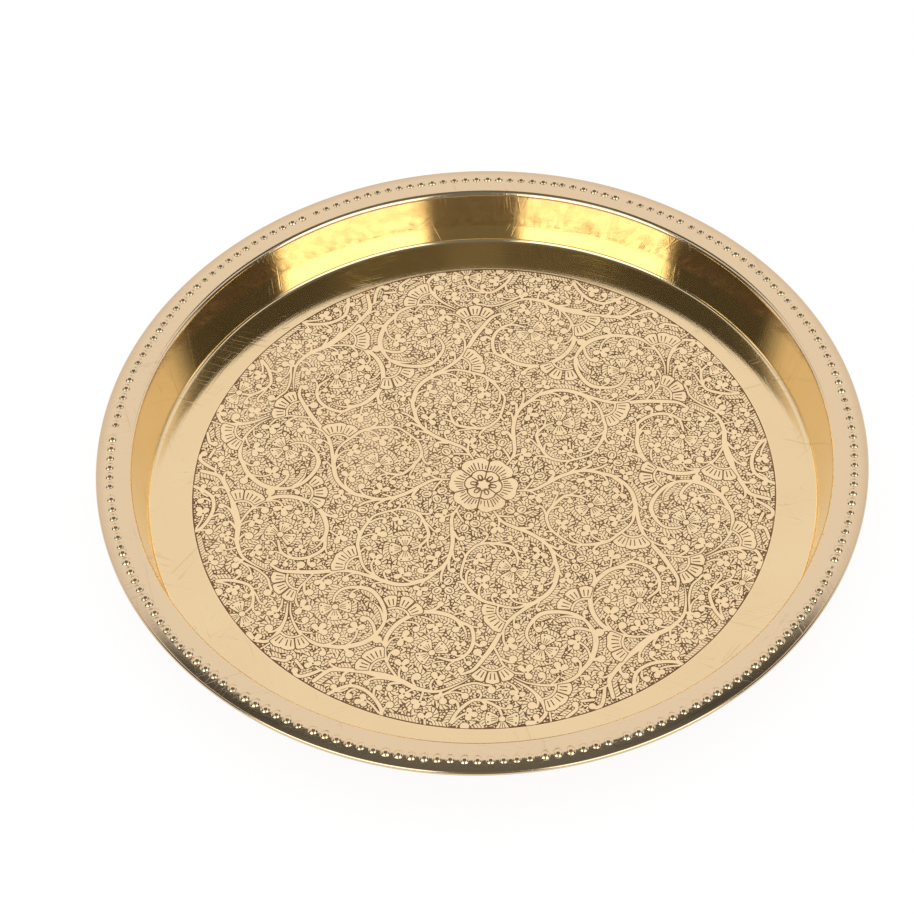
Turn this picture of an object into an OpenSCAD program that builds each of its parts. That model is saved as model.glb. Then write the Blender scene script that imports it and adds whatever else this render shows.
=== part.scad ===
// Thali plate: a round brass dining plate, spun from one sheet, with a steep-walled flat well, a
// beaded flange and an edge curled over a stiffening wire. It stands on its floor at z = 0.

/* [Plate] */
// Diameter over the curled edge
plate_d = 305; // [220:1:400]
// Thickness of the brass sheet
sheet_t = 0.6; // [0.5:0.05:0.9]

/* [Well] */
// Depth from the flange down to the floor, at the top of the wall
well_depth = 24.5; // [15:0.5:40]
// Lean of the wall outwards from upright, in degrees
wall_lean = 11; // [4:1:25]
// Inside radius where the floor turns up into the wall
foot_radius = 1.8; // [1:0.1:4]
// Outside radius where the wall turns out into the flange
lip_radius = 2.2; // [1.2:0.1:4]

/* [Flange] */
// Width from the wall to the outer edge
flange_w = 13.8; // [13:0.2:24]
// Rise from the wall out to the beads, in degrees
flange_rise = 3; // [0.5:0.5:8]
// Fall from the beads out to the edge, in degrees
flange_fall = 9; // [2:0.5:14]

/* [Curled edge] */
// Diameter of the wire inside the curl
wire_d = 0.9; // [0.6:0.05:1.2]
// Gap between the wire and the sheet curled round it
wire_gap = 0.05; // [0.03:0.01:0.1]
// Turn of the curl from the flange round under the wire, in degrees
curl_turn = 285; // [200:5:285]

/* [Beads] */
// Distance from the outer edge to the middle of the beads
bead_inset = 5.6; // [5.2:0.1:6.4]
// Beads on the punch, struck together from behind
beads_per_strike = 6; // [3:1:8]
// Distance between two beads on the punch
bead_pitch = 4.75; // [4.2:0.05:7]
// Diameter of a bead at its foot
bead_d = 3.5; // [2.8:0.1:3.8]
// Height of a bead above the flange
bead_h = 1; // [0.6:0.05:1.4]
// Thickness of the sheet over a bead, where the punch has stretched it
bead_skin = 0.5; // [0.4:0.05:0.6]
// Flat ground that the punch leaves round the foot of a bead
bead_ground = 0.3; // [0.2:0.05:0.5]

/* [Hidden] */
// Largest step of an arc, in degrees
arc_step = 12;

// Gap after each strike of the punch, as a share of the step between two beads of one strike.
// The punch was set down by eye, and one strike landed with its last bead on the next one's first.
strike_gap_shares = [
    1, 1, 1, 1, 1, 0.9, 1.2, 1.4, 0.7, 0, 1, 0.9, 1.4, 1, 1, 0.8,
    1, 1.6, 1.4, 0.7, 0.7, 1, 1.3, 1.3, 1, 1.1, 1.2, 1.5, 1.2, 1, 1, 1.4
];
// Direction of the first bead of the first strike, in degrees
first_bead_at = 335.5;

bead_circle_r = plate_d / 2 - bead_inset;
steps_per_strike = beads_per_strike - 1;
strikes = round(2 * PI * bead_circle_r / (bead_pitch * beads_per_strike));

function gap_share(k) = strike_gap_shares[k % len(strike_gap_shares)];
function gaps_before(k) = k <= 0 ? 0 : gap_share(k - 1) + gaps_before(k - 1);

bead_step = 360 / (strikes * steps_per_strike + gaps_before(strikes));

// The sheet's upper side is a chain of straight runs, given by its sharp corners as [radius, z].
curl_radius = wire_d / 2 + wire_gap + sheet_t;
land_half_w = bead_d / 2 + bead_ground;
lip_corner = [plate_d / 2 - flange_w, sheet_t + well_depth];
foot_corner = lip_corner - well_depth * [tan(wall_lean), 1];
land_start_r = bead_circle_r - land_half_w;
land_z = lip_corner[1] + (land_start_r - lip_corner[0]) * tan(flange_rise);
land_end_r = bead_circle_r + land_half_w;
edge_start_r = plate_d / 2 - curl_radius * (1 - sin(flange_fall));
edge_start_z = land_z - (edge_start_r - land_end_r) * tan(flange_fall);

corners = [
    [0, sheet_t],
    foot_corner,
    lip_corner,
    [land_start_r, land_z],
    [land_end_r, land_z],
    [edge_start_r, edge_start_z]
];
last = len(corners) - 1;
// The corner where the beads' ground starts, and it ends at the next one
land_corner = 3;
// Radius of the upper side at each corner: over zero where the sheet turns up, under where down
bends = [0, foot_radius, -lip_radius, 0, 0, 0];
curl_axis = corners[last] - curl_radius * [sin(flange_fall), cos(flange_fall)];

bead_ball_r = (pow(bead_d / 2, 2) + bead_h * bead_h) / (2 * bead_h);
bead_ball_z = land_z + bead_h - bead_ball_r;
// Where a bead's ball is cut off, inside the thickness of the sheet
bead_cut_z = land_z - sheet_t / 2;
// How far the well and the curled edge run on into the beads' ground, where the three are fused
lap = bead_ground / 3;

function along(angle) = [cos(angle), sin(angle)];
function heading(i) = atan2(corners[i + 1][1] - corners[i][1], corners[i + 1][0] - corners[i][0]);
function reversed(points) = [for (i = [len(points) - 1 : -1 : 0]) points[i]];

// Points on an arc from one direction to another
function arc(axis, radius, from, to) =
    let (steps = ceil(abs(to - from) / arc_step))
    [for (k = [0 : steps]) axis + radius * along(from + (to - from) * k / steps)];

// The sheet at corner i, on its upper side or that depth below it, bent or mitred
function turned(i, depth) =
    let (
        before = heading(i - 1),
        after = heading(i),
        side = bends[i] > 0 ? 1 : -1,
        radius = abs(bends[i]),
        half_turn = abs(after - before) / 2,
        axis = corners[i] + radius * (tan(half_turn) * along(after) + side * along(after + 90))
    )
    bends[i] == 0
        ? [corners[i] + depth / cos(half_turn) * along((before + after) / 2 - 90)]
        : arc(axis, radius + side * depth, before - side * 90, after - side * 90);

// One side of the sheet round corners first to final, with no turn past the final one
function sheet_side(first, final, depth) = [for (i = [first : final]) each turned(i, depth)];

// Section of the sheet between two of those sides
module sheet_between(upper, under) {
    rotate_extrude($fn = 192) polygon(concat(upper, reversed(under)));
}

// One child at the place of each bead, strike by strike
module each_bead() {
    for (k = [0 : strikes - 1]) {
        start = first_bead_at + bead_step * (k * steps_per_strike + gaps_before(k));
        shared = gap_share(k) == 0 ? 1 : 0;
        for (j = [0 : steps_per_strike - shared])
            rotate([0, 0, start + j * bead_step])
                translate([bead_circle_r, 0, bead_ball_z])
                    children();
    }
}

// The part of a bead's ball that stands out of the sheet
module bead_cap() {
    intersection() {
        sphere(r = bead_ball_r, $fn = 32);
        translate([-bead_ball_r, -bead_ball_r, bead_cut_z - bead_ball_z])
            cube([2 * bead_ball_r, 2 * bead_ball_r, 2 * bead_ball_r]);
    }
}

// Floor and wall, and the flange up to the beads' ground
module well() {
    middle = corners[0];
    end = corners[land_corner] + [lap, 0];
    sheet_between(
        concat([middle], sheet_side(1, land_corner, 0), [end]),
        concat([middle - [0, sheet_t]], sheet_side(1, land_corner, sheet_t), [end - [0, sheet_t]])
    );
}

// The beads' ground, with each bead struck up out of it and hollow below
module beaded_land() {
    difference() {
        union() {
            sheet_between(
                sheet_side(land_corner, land_corner + 1, 0),
                sheet_side(land_corner, land_corner + 1, sheet_t)
            );
            each_bead() bead_cap();
        }
        each_bead() sphere(r = bead_ball_r - bead_skin, $fn = 32);
    }
}

// The fall of the flange outside the beads, and the edge curled under it
module curled_edge() {
    top = heading(last - 1) + 90;
    start = corners[last - 1] - [lap, 0];
    sheet_between(
        concat([start], turned(last - 1, 0), arc(curl_axis, curl_radius, top, top - curl_turn)),
        concat([start - [0, sheet_t]], turned(last - 1, sheet_t),
            arc(curl_axis, curl_radius - sheet_t, top, top - curl_turn))
    );
}

// Floor, wall, flange, struck beads and curled edge, all one sheet
module plate_sheet() {
    color("#d9b071") union() {
        well();
        beaded_land();
        curled_edge();
    }
}

// The wire that stiffens the edge, shut in by the curl
module rim_wire() {
    color("#b08a4a")
        rotate_extrude($fn = 192) translate(curl_axis) circle(d = wire_d, $fn = 32);
}

plate_sheet();
rim_wire();
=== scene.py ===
import math

import bpy
import numpy as np
from mathutils import Matrix, Vector
from mathutils.geometry import delaunay_2d_cdt


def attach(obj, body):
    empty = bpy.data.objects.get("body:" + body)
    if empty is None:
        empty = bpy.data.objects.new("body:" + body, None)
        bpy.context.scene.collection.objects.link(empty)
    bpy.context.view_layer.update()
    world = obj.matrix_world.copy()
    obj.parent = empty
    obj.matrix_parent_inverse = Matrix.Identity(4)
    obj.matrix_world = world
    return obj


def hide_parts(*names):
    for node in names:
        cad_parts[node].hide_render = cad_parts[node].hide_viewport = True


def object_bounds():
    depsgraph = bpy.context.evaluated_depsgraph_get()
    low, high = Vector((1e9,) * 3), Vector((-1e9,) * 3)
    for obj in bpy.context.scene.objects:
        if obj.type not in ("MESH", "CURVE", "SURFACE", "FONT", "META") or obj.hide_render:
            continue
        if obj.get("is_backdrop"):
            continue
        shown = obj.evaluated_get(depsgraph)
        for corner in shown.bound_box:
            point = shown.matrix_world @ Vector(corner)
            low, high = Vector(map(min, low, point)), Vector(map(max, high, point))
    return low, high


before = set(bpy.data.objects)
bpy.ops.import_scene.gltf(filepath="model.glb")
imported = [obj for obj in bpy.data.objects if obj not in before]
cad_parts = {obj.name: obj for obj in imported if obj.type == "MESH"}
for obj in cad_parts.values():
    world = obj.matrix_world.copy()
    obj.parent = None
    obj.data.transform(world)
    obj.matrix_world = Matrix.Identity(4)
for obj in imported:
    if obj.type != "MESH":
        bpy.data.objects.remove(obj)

# Sizes are in millimetres until a mesh is made.
MM = 0.001
cad_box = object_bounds()

# Plate, with the same driving dimensions as the CAD source
PLATE_D = 305
SHEET_T = 0.6
WELL_DEPTH = 24.5
WALL_LEAN = 11
FOOT_RADIUS = 1.8
LIP_RADIUS = 2.2
FLANGE_W = 13.8
FLANGE_RISE = 3
FLANGE_FALL = 9
CURL_RADIUS = 1.1
CURL_TURN = 285
BEAD_INSET = 5.6
BEADS_PER_STRIKE = 6
BEAD_D = 3.5
BEAD_H = 1
BEAD_SKIN = 0.5
BEAD_GROUND = 0.3
FIRST_BEAD_AT = 335.5
# Gap after each strike of the punch, as a share of the step between two beads of one strike
STRIKE_GAP_SHARES = [
    1, 1, 1, 1, 1, 0.9, 1.2, 1.4, 0.7, 0, 1, 0.9, 1.4, 1, 1, 0.8,
    1, 1.6, 1.4, 0.7, 0.7, 1, 1.3, 1.3, 1, 1.1, 1.2, 1.5, 1.2, 1, 1, 1.4,
]

# Beads as the punch left them: a foot that spreads, a soft bend and a groove round it
BEAD_FOOT_D = 3.9
BEAD_BEND = 0.08
GROOVE_DEPTH = 0.06
GROOVE_AT_SHARE = 1.1
GROOVE_W_SHARE = 0.07
# Play of the punch: its tilt along its length, its drift, and how much lower a bead can stand
PUNCH_TILT = 0.02
PUNCH_L = 24
PUNCH_DRIFT = 0.06
SINK_SHARES = (0.015, 0.2, 0.05)

# Mesh of the sheet: rows beside a crease that keep it from spreading, and steps of its arcs in degrees
CREASE = 0.25
WELL_STEP = 8
EDGE_STEP = 15
UNDER_STEP = 24
# Radius where the rows of the underside end in a fan
FAN_R = 1
# Mesh of a bead: columns on each of four sides, rings as shares of its foot, and the share of the
# way to its neighbours that a ring may fill, as a part for all and a part that grows with the ring
SIDE = 6
RING_SHARES = (0.25, 0.5, 0.7, 0.84, 0.93, 1.0, 1.07, 1.18)
FILL_SHARES = (0.82, 0.13)
# Map for the bake: strips round the plate, and the margin of each
STRIPS = 12
STRIP_MARGIN = 0.03

# Ornament: one sixth of it, drawn from its centre with x to the right and y away from the front
SIXTH = 60
ORNAMENT_AT = (0.49, 0.0)
ORNAMENT_R = 117.6
BORDER_R = 117.1
BORDER_W = 0.32
ROSETTE_R = 13.2
ETCH_DEPTH = 0.12
# Ground between the motifs: a dark outline round each motif, then rows of curved bright strokes,
# which have a foot, a head and a dark line between two, and round grains where there is room
OUTLINE_W = 0.27
ROWS = 4
ROW_PITCH = 2.5
STROKE_PITCH = 1.3
LINE_W = 0.26
FOOT_L = 0.6
FOOT_SLANT = 12
HEAD_L = 1.6
HEAD_SLANT = 34
HEAD_STEPS = 10
LEAST_HEAD_L = 0.15
LEAST_STROKE_W = 0.12
MOST_STROKE_W = 1.5 * STROKE_PITCH
GRAIN_R = (0.2, 0.6)
MOST_GRAINS = 2500
GRAIN_REACH = 1.6
# What is drawn past the sixth: motifs this many degrees, and strokes this many degrees times
# millimetres, from its sides, motifs this far from the rosette, and metal this far past the border
SPARE = 4
NEAR_SIDE = 100
ROSETTE_SPARE = 1.8
BEYOND = 12
ROSETTE_EYE_R = 2.65
BLOSSOM_EYE_R = 0.95
FLOWER_EYE_R = 1.3
LEAF_TIP_W = 0.2
# Least turn of a convex outline, in square millimetres, and how close points are merged
LEAST_TURN = 1e-4
MERGE = 1e-5

# Long stems: widths spread evenly along each, and points on its middle line
STEMS = [
    ((0.8, 1.5, 1.7, 1.5, 1.7, 1.6, 1.9, 1.5, 1.5, 2.0, 1.7, 1.0), [
        (3.9, -13.6), (7, -18.9), (11.3, -21.7), (17.5, -25), (21.8, -28.4), (24.9, -31.9), (26.5, -35.8),
        (27.3, -40), (28, -44), (26.7, -50.2), (23.9, -54.8), (19.5, -58.4), (14.4, -62), (9, -66.5),
        (5.2, -71.9), (1.8, -78.6), (-2, -84.5), (-5.8, -89.5), (-8.4, -91), (-10.9, -91.8)]),
    ((1.4, 1.0, 1.3, 1.6, 1.0, 1.1, 1.2, 1.4, 1.3, 0.8), [
        (19, -58.8), (15.5, -59.8), (12, -61.2), (8, -61), (2.7, -59.2), (-2, -57.2), (-6, -53),
        (-9.4, -46.9), (-10, -44.4), (-8.9, -39), (-7.3, -34.4), (-5, -31.8), (-2.6, -30), (1.8, -29.5),
        (8.7, -31), (11.3, -33), (12.6, -37.8), (12.1, -41)]),
    ((0.9, 1.3, 1.9, 1.6, 1.3, 2.2, 2.0, 1.6, 1.3, 0.9, 0.4), [
        (18, -79.7), (16, -77.9), (14.7, -74), (16.2, -69.6), (20.3, -65), (26, -63.9), (33, -65.2),
        (37.7, -68.6), (40.8, -74.8), (41.1, -80.4), (38.8, -87.3), (35.7, -91.4), (32.1, -95.3),
        (26, -97.8), (20.6, -98.1), (13.9, -96.6), (9, -93.7)]),
    ((0.9, 1.2, 1.8, 1.9, 1.9, 1.9, 1.4, 1.5, 1.4, 0.9), [
        (-35.2, -92.8), (-38.8, -86.4), (-40.3, -79.5), (-38.9, -72.3), (-33.6, -65.8), (-25, -61.9),
        (-16, -63.5), (-10.8, -67.2), (-6.7, -70), (-5.9, -76.4), (-8.2, -82), (-13.5, -85.2),
        (-19.8, -83.5)]),
    ((1.6, 1.7, 1.8, 1.8, 3.0, 2.2, 1.8, 1.2, 0.7, 0.3), [
        (-67.4, -92.6), (-62.5, -88.6), (-59.5, -87.6), (-50.3, -88.7), (-42.6, -90.8), (-34.6, -93.6),
        (-29.8, -96.7), (-26.5, -98.2), (-20, -99.3), (-12, -96.2), (-7.1, -93.1)]),
    ((1.4, 1.4, 1.2, 1.0), [
        (-15.3, -113.5), (-12.7, -109), (-8.4, -104.9), (-5, -103.7), (0, -105.6), (2.9, -108), (4, -111)]),
    ((1.5, 1.5), [
        (-41.6, -109.3), (-41.6, -106.7), (-43.9, -102), (-47.7, -97.7), (-52.9, -95.4), (-58, -96.7),
        (-62, -99)]),
    ((0.5, 1.6, 1.4), [
        (9.3, -95.3), (14.9, -99.4), (18.9, -104.5), (20.5, -108.4), (20.5, -111.4), (17.9, -114.5)]),
    ((0.7, 0.7), [(22, -109.4), (22.5, -114.5)]),
    ((0.5, 1.2), [(6.2, -95.9), (8.8, -97.9), (10.3, -100.4)]),
    ((1.0, 1.0), [(26.3, -33.8), (28.3, -36.3), (30.5, -38.2), (32.3, -39.1)]),
    ((0.9, 0.9), [(5.7, -15.9), (8.3, -16.4), (11.5, -16.5)]),
    ((1.2, 1.2), [(34.5, -105.8), (39, -105.5)]),
]

# Leaves that run out to a point: width at the root, and points
LEAVES = [
    (1.2, [(12.9, -15.3), (15, -14.9), (17.6, -14.5)]),
    (1.1, [(-5.1, -21.8), (-3.9, -22.7), (-2.1, -24.1)]),
    (1.3, [(-8.4, -48.5), (-11.7, -47.6)]),
    (1.0, [(36, -67.7), (33, -66.6), (29.8, -66.2), (27.5, -66.7), (25.7, -67.6)]),
    (0.9, [(-12.3, -65.5), (-9.8, -69.3), (-8.7, -72.5), (-8.7, -75), (-9.6, -76.6)]),
]

# Tendrils that end in a knob: x, y and radius of the knob, width, and points
TENDRILS = [
    (-11, -89.8, 1.4, 1.0, [(-8.4, -91), (-10.9, -91.8)]),
    (18.5, -21.2, 1.25, 1.2, [(14, -22.3), (16.5, -22.7), (18.4, -22.4)]),
    (26.5, -28.1, 1.1, 0.9, [(20.5, -27), (23.6, -28.5), (25.9, -29.1)]),
    (30, -32.6, 1.2, 1.1, [(23.2, -30.2), (26.2, -32), (28.8, -33.5)]),
    (13.9, -28.2, 1.25, 0.8, [(14.2, -24.5), (14.9, -26.3), (15, -28.2)]),
    (9.8, -27.1, 1.15, 0.8, [(4, -29.3), (6.5, -29), (9, -28.8), (10.5, -28)]),
    (-0.2, -24.5, 1.0, 1.0, [(-2.6, -30), (-0.1, -27.7), (0.9, -26), (0.7, -24.7)]),
    (15.7, -32.9, 1.25, 0.9, [(11.5, -33), (14.4, -34.5), (16.2, -34.2)]),
    (8.7, -34.7, 1.2, 0.8, [(9.6, -32.3), (10.1, -33.9)]),
    (16.5, -38.8, 1.1, 0.8, [(12.4, -36), (13.6, -37.8), (15.4, -39.3)]),
    (3.1, -33.7, 1.3, 0.9, [(1.8, -30.1), (3.9, -31.6), (4.3, -33.2)]),
    (23.3, -43.2, 1.5, 0.9, [(26.7, -39.2), (26, -41.7), (24.7, -43.3)]),
    (-10.6, -33.7, 0.9, 0.8, [(-8.2, -35.6), (-8.7, -33.9), (-9.8, -33)]),
    (-5.2, -43.1, 1.05, 1.0, [(-8, -48), (-7.9, -44.8), (-7.2, -43), (-5.8, -42.2)]),
    (-9.3, -55.7, 1.3, 1.1, [(-4.2, -55.4), (-6.7, -54.2), (-8.5, -54.1), (-9.6, -55)]),
    (3, -54.9, 1.2, 0.8, [(2.7, -58.6), (1.9, -56.8), (2.1, -55.2)]),
    (16.9, -54.2, 1.2, 0.9, [(20.3, -56.8), (18.2, -56.6), (16.5, -56), (15.9, -54.6)]),
    (19.9, -62.6, 0.95, 0.8, [(20.3, -59), (19.1, -61.3), (19.2, -62.8)]),
    (11.1, -70.2, 1.5, 0.8, [(11.4, -64.4), (10.3, -66.6), (10, -69)]),
    (15.9, -65.3, 1.0, 0.7, [(18, -66.8), (16.4, -66.6)]),
    (19.5, -72, 1.45, 0.8, [(18, -68.5), (18, -71.4)]),
    (31.5, -74, 1.5, 1.3, [(40.2, -73.8), (37, -72.5), (34.4, -72.1), (32, -72.5)]),
    (38, -64.5, 1.15, 1.0, [(37.6, -67), (37.1, -65.2)]),
    (-12.6, -70.7, 1.5, 0.9, [(-13.2, -65.2), (-11.6, -67.5), (-10.9, -69.6)]),
    (-3.1, -68.9, 1.15, 0.8, [(-6.7, -69.3), (-4.7, -70), (-3.2, -70.2)]),
    (-2, -77.8, 1.4, 1.2, [(-5.8, -77), (-4.4, -78.3), (-3, -78.9)]),
    (-18.2, -58.3, 1.3, 1.2, [(-24, -61.9), (-20, -60.4)]),
    (-4.4, -81.8, 1.75, 1.0, [(-1.6, -83.3), (-3, -84)]),
    (-13.5, -81.8, 1.2, 0.8, [(-10.2, -82.8), (-12.3, -83.2)]),
    (-7.9, -86.8, 1.2, 0.8, [(-9.6, -84.5), (-9.1, -86.3)]),
    (-15.9, -88.8, 1.15, 0.8, [(-13.5, -85.8), (-15.5, -87)]),
    (-21.2, -87.6, 1.0, 0.7, [(-17.6, -85.6), (-20.2, -85.6), (-21.9, -86.5)]),
    (9.1, -85.4, 1.6, 1.1, [(4.2, -84.9), (6.5, -86.4), (8.3, -87), (10, -86.6)]),
    (19.8, -93.4, 1.5, 0.8, [(18.3, -96.9), (20.1, -95.9), (21, -94.2)]),
    (32.8, -86.8, 1.45, 1.0, [(34, -93), (34.8, -90), (34.6, -87.8)]),
    (42.9, -86.8, 1.75, 1.6, [(38.8, -86.8), (40.4, -86.9)]),
    (37.1, -95.4, 1.4, 1.0, [(34.7, -94.6), (36.3, -94.4)]),
    (42.5, -93.6, 1.2, 1.0, [(47, -93.3), (44.3, -95.2), (42.4, -95.3), (41.3, -94.2)]),
    (51.8, -95, 1.5, 1.2, [(49.7, -90.5), (50, -93.3)]),
    (52.9, -99.6, 1.3, 0.9, [(56.5, -95.5), (56.2, -98), (54.8, -100)]),
    (-52.4, -92.9, 1.0, 1.0, [(-53, -95.4), (-53.4, -93.6)]),
    (-47.2, -94.3, 1.35, 1.0, [(-36, -93.8), (-38.8, -92.8), (-42.6, -92.3), (-45.7, -92.7)]),
    (-42.4, -96.7, 1.4, 1.0, [(-44.5, -100.3), (-44.2, -97.5), (-43.4, -96)]),
    (-38.4, -97.2, 1.35, 1.1, [(-34, -95), (-36.2, -94.9), (-38, -95.1), (-39.3, -96.3)]),
    (-27.9, -92.2, 1.75, 1.0, [(-28.4, -96.6), (-29.5, -94.4), (-29.5, -92.3), (-28.6, -91)]),
    (-53.9, -100.2, 1.4, 1.0, [(-51.6, -97), (-53.4, -97.6), (-54.5, -99)]),
    (-38.4, -104.7, 1.6, 0.9, [(-41.3, -108.5), (-40.2, -105.9)]),
    (-20.4, -102, 1.35, 0.9, [(-18.6, -99.2), (-19.2, -100.4)]),
    (-18.1, -103.9, 1.55, 1.2, [(-18.6, -100.4), (-18.4, -101.6)]),
    (-14.6, -104.2, 1.35, 1.1, [(-12.3, -107.4), (-12.6, -105.2), (-13.4, -104)]),
    (-2.7, -107.4, 1.35, 1.0, [(-3.2, -104.6), (-2, -106)]),
    (7.2, -107.4, 1.2, 0.9, [(0.3, -105.4), (2.7, -107.2), (5.2, -108.2)]),
    (-4.5, -99.9, 0.95, 0.9, [(-4.3, -103.4), (-3.5, -101.5)]),
    (3.6, -102.2, 0.9, 0.9, [(-3, -103.6), (0.1, -103.9), (2.2, -104.3), (3.9, -103.9), (4.6, -102.7)]),
    (-10.2, -115.6, 1.8, 1.0, [(-11.4, -115.8), (-10.8, -115.7)]),
    (-35.9, -80.6, 1.7, 0.9, [(-38.9, -84), (-38.4, -81.8), (-37.2, -80.2)]),
    (-28, -70, 1.4, 0.9, [(-32.4, -66.4), (-29.8, -66.5), (-27.7, -67.3), (-26.8, -68.7)]),
    (-43, -74.2, 1.9, 1.2, [(-40.2, -76.6), (-40.9, -75.7)]),
    (15.6, -107.2, 1.75, 1.0, [(17.1, -102.2), (17.8, -104.4), (17.9, -106.5), (17, -108.3)]),
    (0.4, -99.5, 1.65, 0.9, [(-19, -101.3), (-16, -99.7), (-12.2, -97.7), (-8.4, -96.4), (-5.3, -96.1),
                             (-2.3, -97), (0.2, -97.6)]),
    (-9.7, -101.8, 1.5, 0.7, [(-18.6, -101.3), (-16, -100.3), (-13.5, -99.9), (-10.9, -100.6)]),
    (38.4, -108.4, 1.4, 1.5, [(43.5, -100.4), (43, -104.3), (42, -107.8), (40.2, -109.1)]),
    (32, -107.3, 1.3, 1.3, [(28.4, -113), (31, -110.9), (32.5, -109.1)]),
]

# Buds of three lobes round a dot: the dot, the lobes as x, y and radius, and the stem's points
BUDS = [
    ((4.75, -21.3), [(3.2, -19.9, 1.2), (3.4, -23.6, 1.3), (6.4, -23.3, 1.3)],
     [(5.6, -17), (5.8, -19.5), (5.3, -21.5)]),
    ((21.5, -35), [(19.8, -33.2, 1.3), (19.5, -37.2, 1.3), (23.4, -36.8, 1.3)],
     [(22.5, -30.5), (22.9, -33.3)]),
    ((-3.7, -36.9), [(-4.1, -38.9, 1.2), (-2.5, -35.2, 1.2), (-1.2, -38, 1.2)],
     [(-8.6, -38.2), (-6.8, -37.6), (-4.9, -37.1)]),
    ((21.4, -50.3), [(22.3, -48.1, 1.3), (18.8, -49.6, 1.3), (20.8, -52.7, 1.3)],
     [(27.2, -45), (26.4, -48.3), (24.6, -50.1), (22.6, -50.9)]),
    ((31.1, -48), [(32, -46.2, 1.2), (32.8, -49.6, 1.2), (29.6, -49.1, 1.2)],
     [(28.3, -44.2), (29.5, -46.8)]),
    ((-1.85, -48.8), [(-3.3, -47.1, 1.3), (0, -46.6, 1.6), (-0.4, -50.6, 1.3)],
     [(-2.1, -57), (-3.1, -54.8), (-3.1, -52.3), (-2.4, -49.9)]),
    ((8.8, -55.6), [(8.7, -53.4, 1.3), (6.5, -55.6, 1.3), (11.1, -55.6, 1.3)],
     [(15.5, -59.6), (12.3, -59.1), (10.2, -58), (9.1, -56.5)]),
    ((-9, -61.8), [(-10.2, -60.4, 1.2), (-6.3, -60.8, 1.4), (-6.9, -64, 1.3)],
     [(-12.9, -63.6), (-10.6, -63), (-9.4, -62.4)]),
    ((-20.5, -68.3), [(-22.8, -68.9, 1.3), (-18.7, -68.2, 1.2), (-20.3, -70.7, 1.3)],
     [(-25.6, -64.2), (-23, -65.3), (-21, -67)]),
    ((7.2, -78.1), [(8.8, -76.6, 1.5), (9.7, -80, 1.4), (6.5, -80.6, 1.3)],
     [(6.2, -70.5), (5.85, -72.5), (5.7, -76.3), (6.3, -78.5)]),
    ((13.8, -91.8), [(11.9, -89.7, 1.3), (15.4, -89.6, 1.5), (14.9, -93.8, 1.45)],
     [(2, -79.7), (3.9, -84.6), (4.9, -87.4), (7.5, -90.6), (9.8, -92), (12.6, -92.5)]),
    ((26.9, -91.7), [(25.9, -88.8, 1.4), (24.3, -91.8, 1.3), (28.9, -90, 1.4)],
     [(23.4, -97.6), (25.2, -96), (26.4, -94.2)]),
    ((10.7, -101.8), [(8.4, -101, 1.3), (9.5, -103.6, 1.3), (12.1, -101.9, 1.3)],
     [(8.8, -97.9), (10.3, -100.4)]),
    ((34.4, -78.5), [(34.6, -76.3, 1.4), (31.7, -78.5, 1.4), (33.6, -81, 1.4)],
     [(38.8, -86), (38.2, -82.8), (36.8, -80.4), (35, -78.8)]),
    ((39.3, -100.9), [(37, -100.9, 1.3), (40.3, -99.2, 1.2), (38.9, -103.1, 1.3)],
     [(45.3, -98.4), (44, -99.6), (41.4, -100.9)]),
    ((-33.8, -86.8), [(-35.2, -85, 1.3), (-31.8, -85, 1.3), (-32.4, -88.7, 1.3)],
     [(-34.4, -93.3), (-34.8, -90.5), (-34.4, -88)]),
    ((-32.9, -100), [(-33.6, -98.4, 1.2), (-33.9, -101.1, 1.2), (-31.2, -100.6, 1.2)],
     [(-28, -97.8), (-30, -98.2), (-32, -99.4)]),
    ((-26.9, -104), [(-29.2, -103.6, 1.3), (-28.4, -105.9, 1.3), (-25.5, -104.6, 1.2)],
     [(-25.6, -99.2), (-26, -101), (-26.7, -103)]),
    ((-20.4, -93.8), [(-18.2, -92.8, 1.3), (-19.1, -95.6, 1.2), (-21.2, -91.5, 1.3)],
     [(-22.5, -98.5), (-22.8, -96), (-21.8, -94)]),
    ((-33.3, -73.9), [(-31.8, -71.6, 1.4), (-30.4, -74.8, 1.5), (-34.2, -76.4, 1.4)],
     [(-39.5, -77.5), (-38, -74.9), (-36.2, -73.6), (-34.2, -73.6)]),
    ((-25.15, -111.4), [(-26.7, -110, 1.3), (-23.4, -109.8, 1.3)],
     [(-25.2, -114.6), (-25.2, -113), (-25.2, -111.6)]),
    ((17.4, -114.8), [(16.9, -112.3, 1.3), (14, -115.1, 1.3)], [(19, -114), (18, -114.6)]),
    ((-8.9, -109.6), [(-8.2, -108.3, 1.2), (-6.3, -110.4, 1.3), (-8.7, -111.8, 1.3)],
     [(-15, -114), (-12.5, -111.5), (-10.7, -110.3), (-9.2, -109.7)]),
    ((-47.7, -102.4), [(-48.6, -100.5, 1.3), (-50.6, -102.8, 1.3), (-48.3, -103.9, 1.2)],
     [(-42.6, -108.2), (-45.2, -104.4), (-47, -102.7)]),
    ((-11, -78.4), [(-12.3, -77.3, 1.1), (-9.7, -77.7, 1.1), (-11.7, -79.5, 1.1)],
     [(-9.6, -76.6), (-10.4, -77.6)]),
]
BUD_STEM_W = 0.9
BUD_NECK_W = 1.3
BUD_DOT_R = 0.4
BUD_LOBE_SHARE = 1.9

# Blossoms, flowers and fans: x, y and the directions of their three petals
BLOSSOMS = [((12.67, -15.4), (138, 46, -53)), ((-17.1, -49.8), (49, -43, -140))]
FLOWERS = [
    ((10.7, -42.9), (150, -30, -120)), ((20.6, -80.4), (62, -33, -112)),
    ((-22, -81.3), (123, 28, -151)), ((4.1, -112.8), (175, -5, -90)),
]
FANS = [
    ((9.3, -62.6), (175, 205, 231)), ((-36, -65), (100, 62, 28)), ((1.3, -85), (235, 268, 302)),
    ((19.5, -98.7), (-8, -40, -68)), ((-40.3, -89.1), (105, 128, 160)),
]

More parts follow.
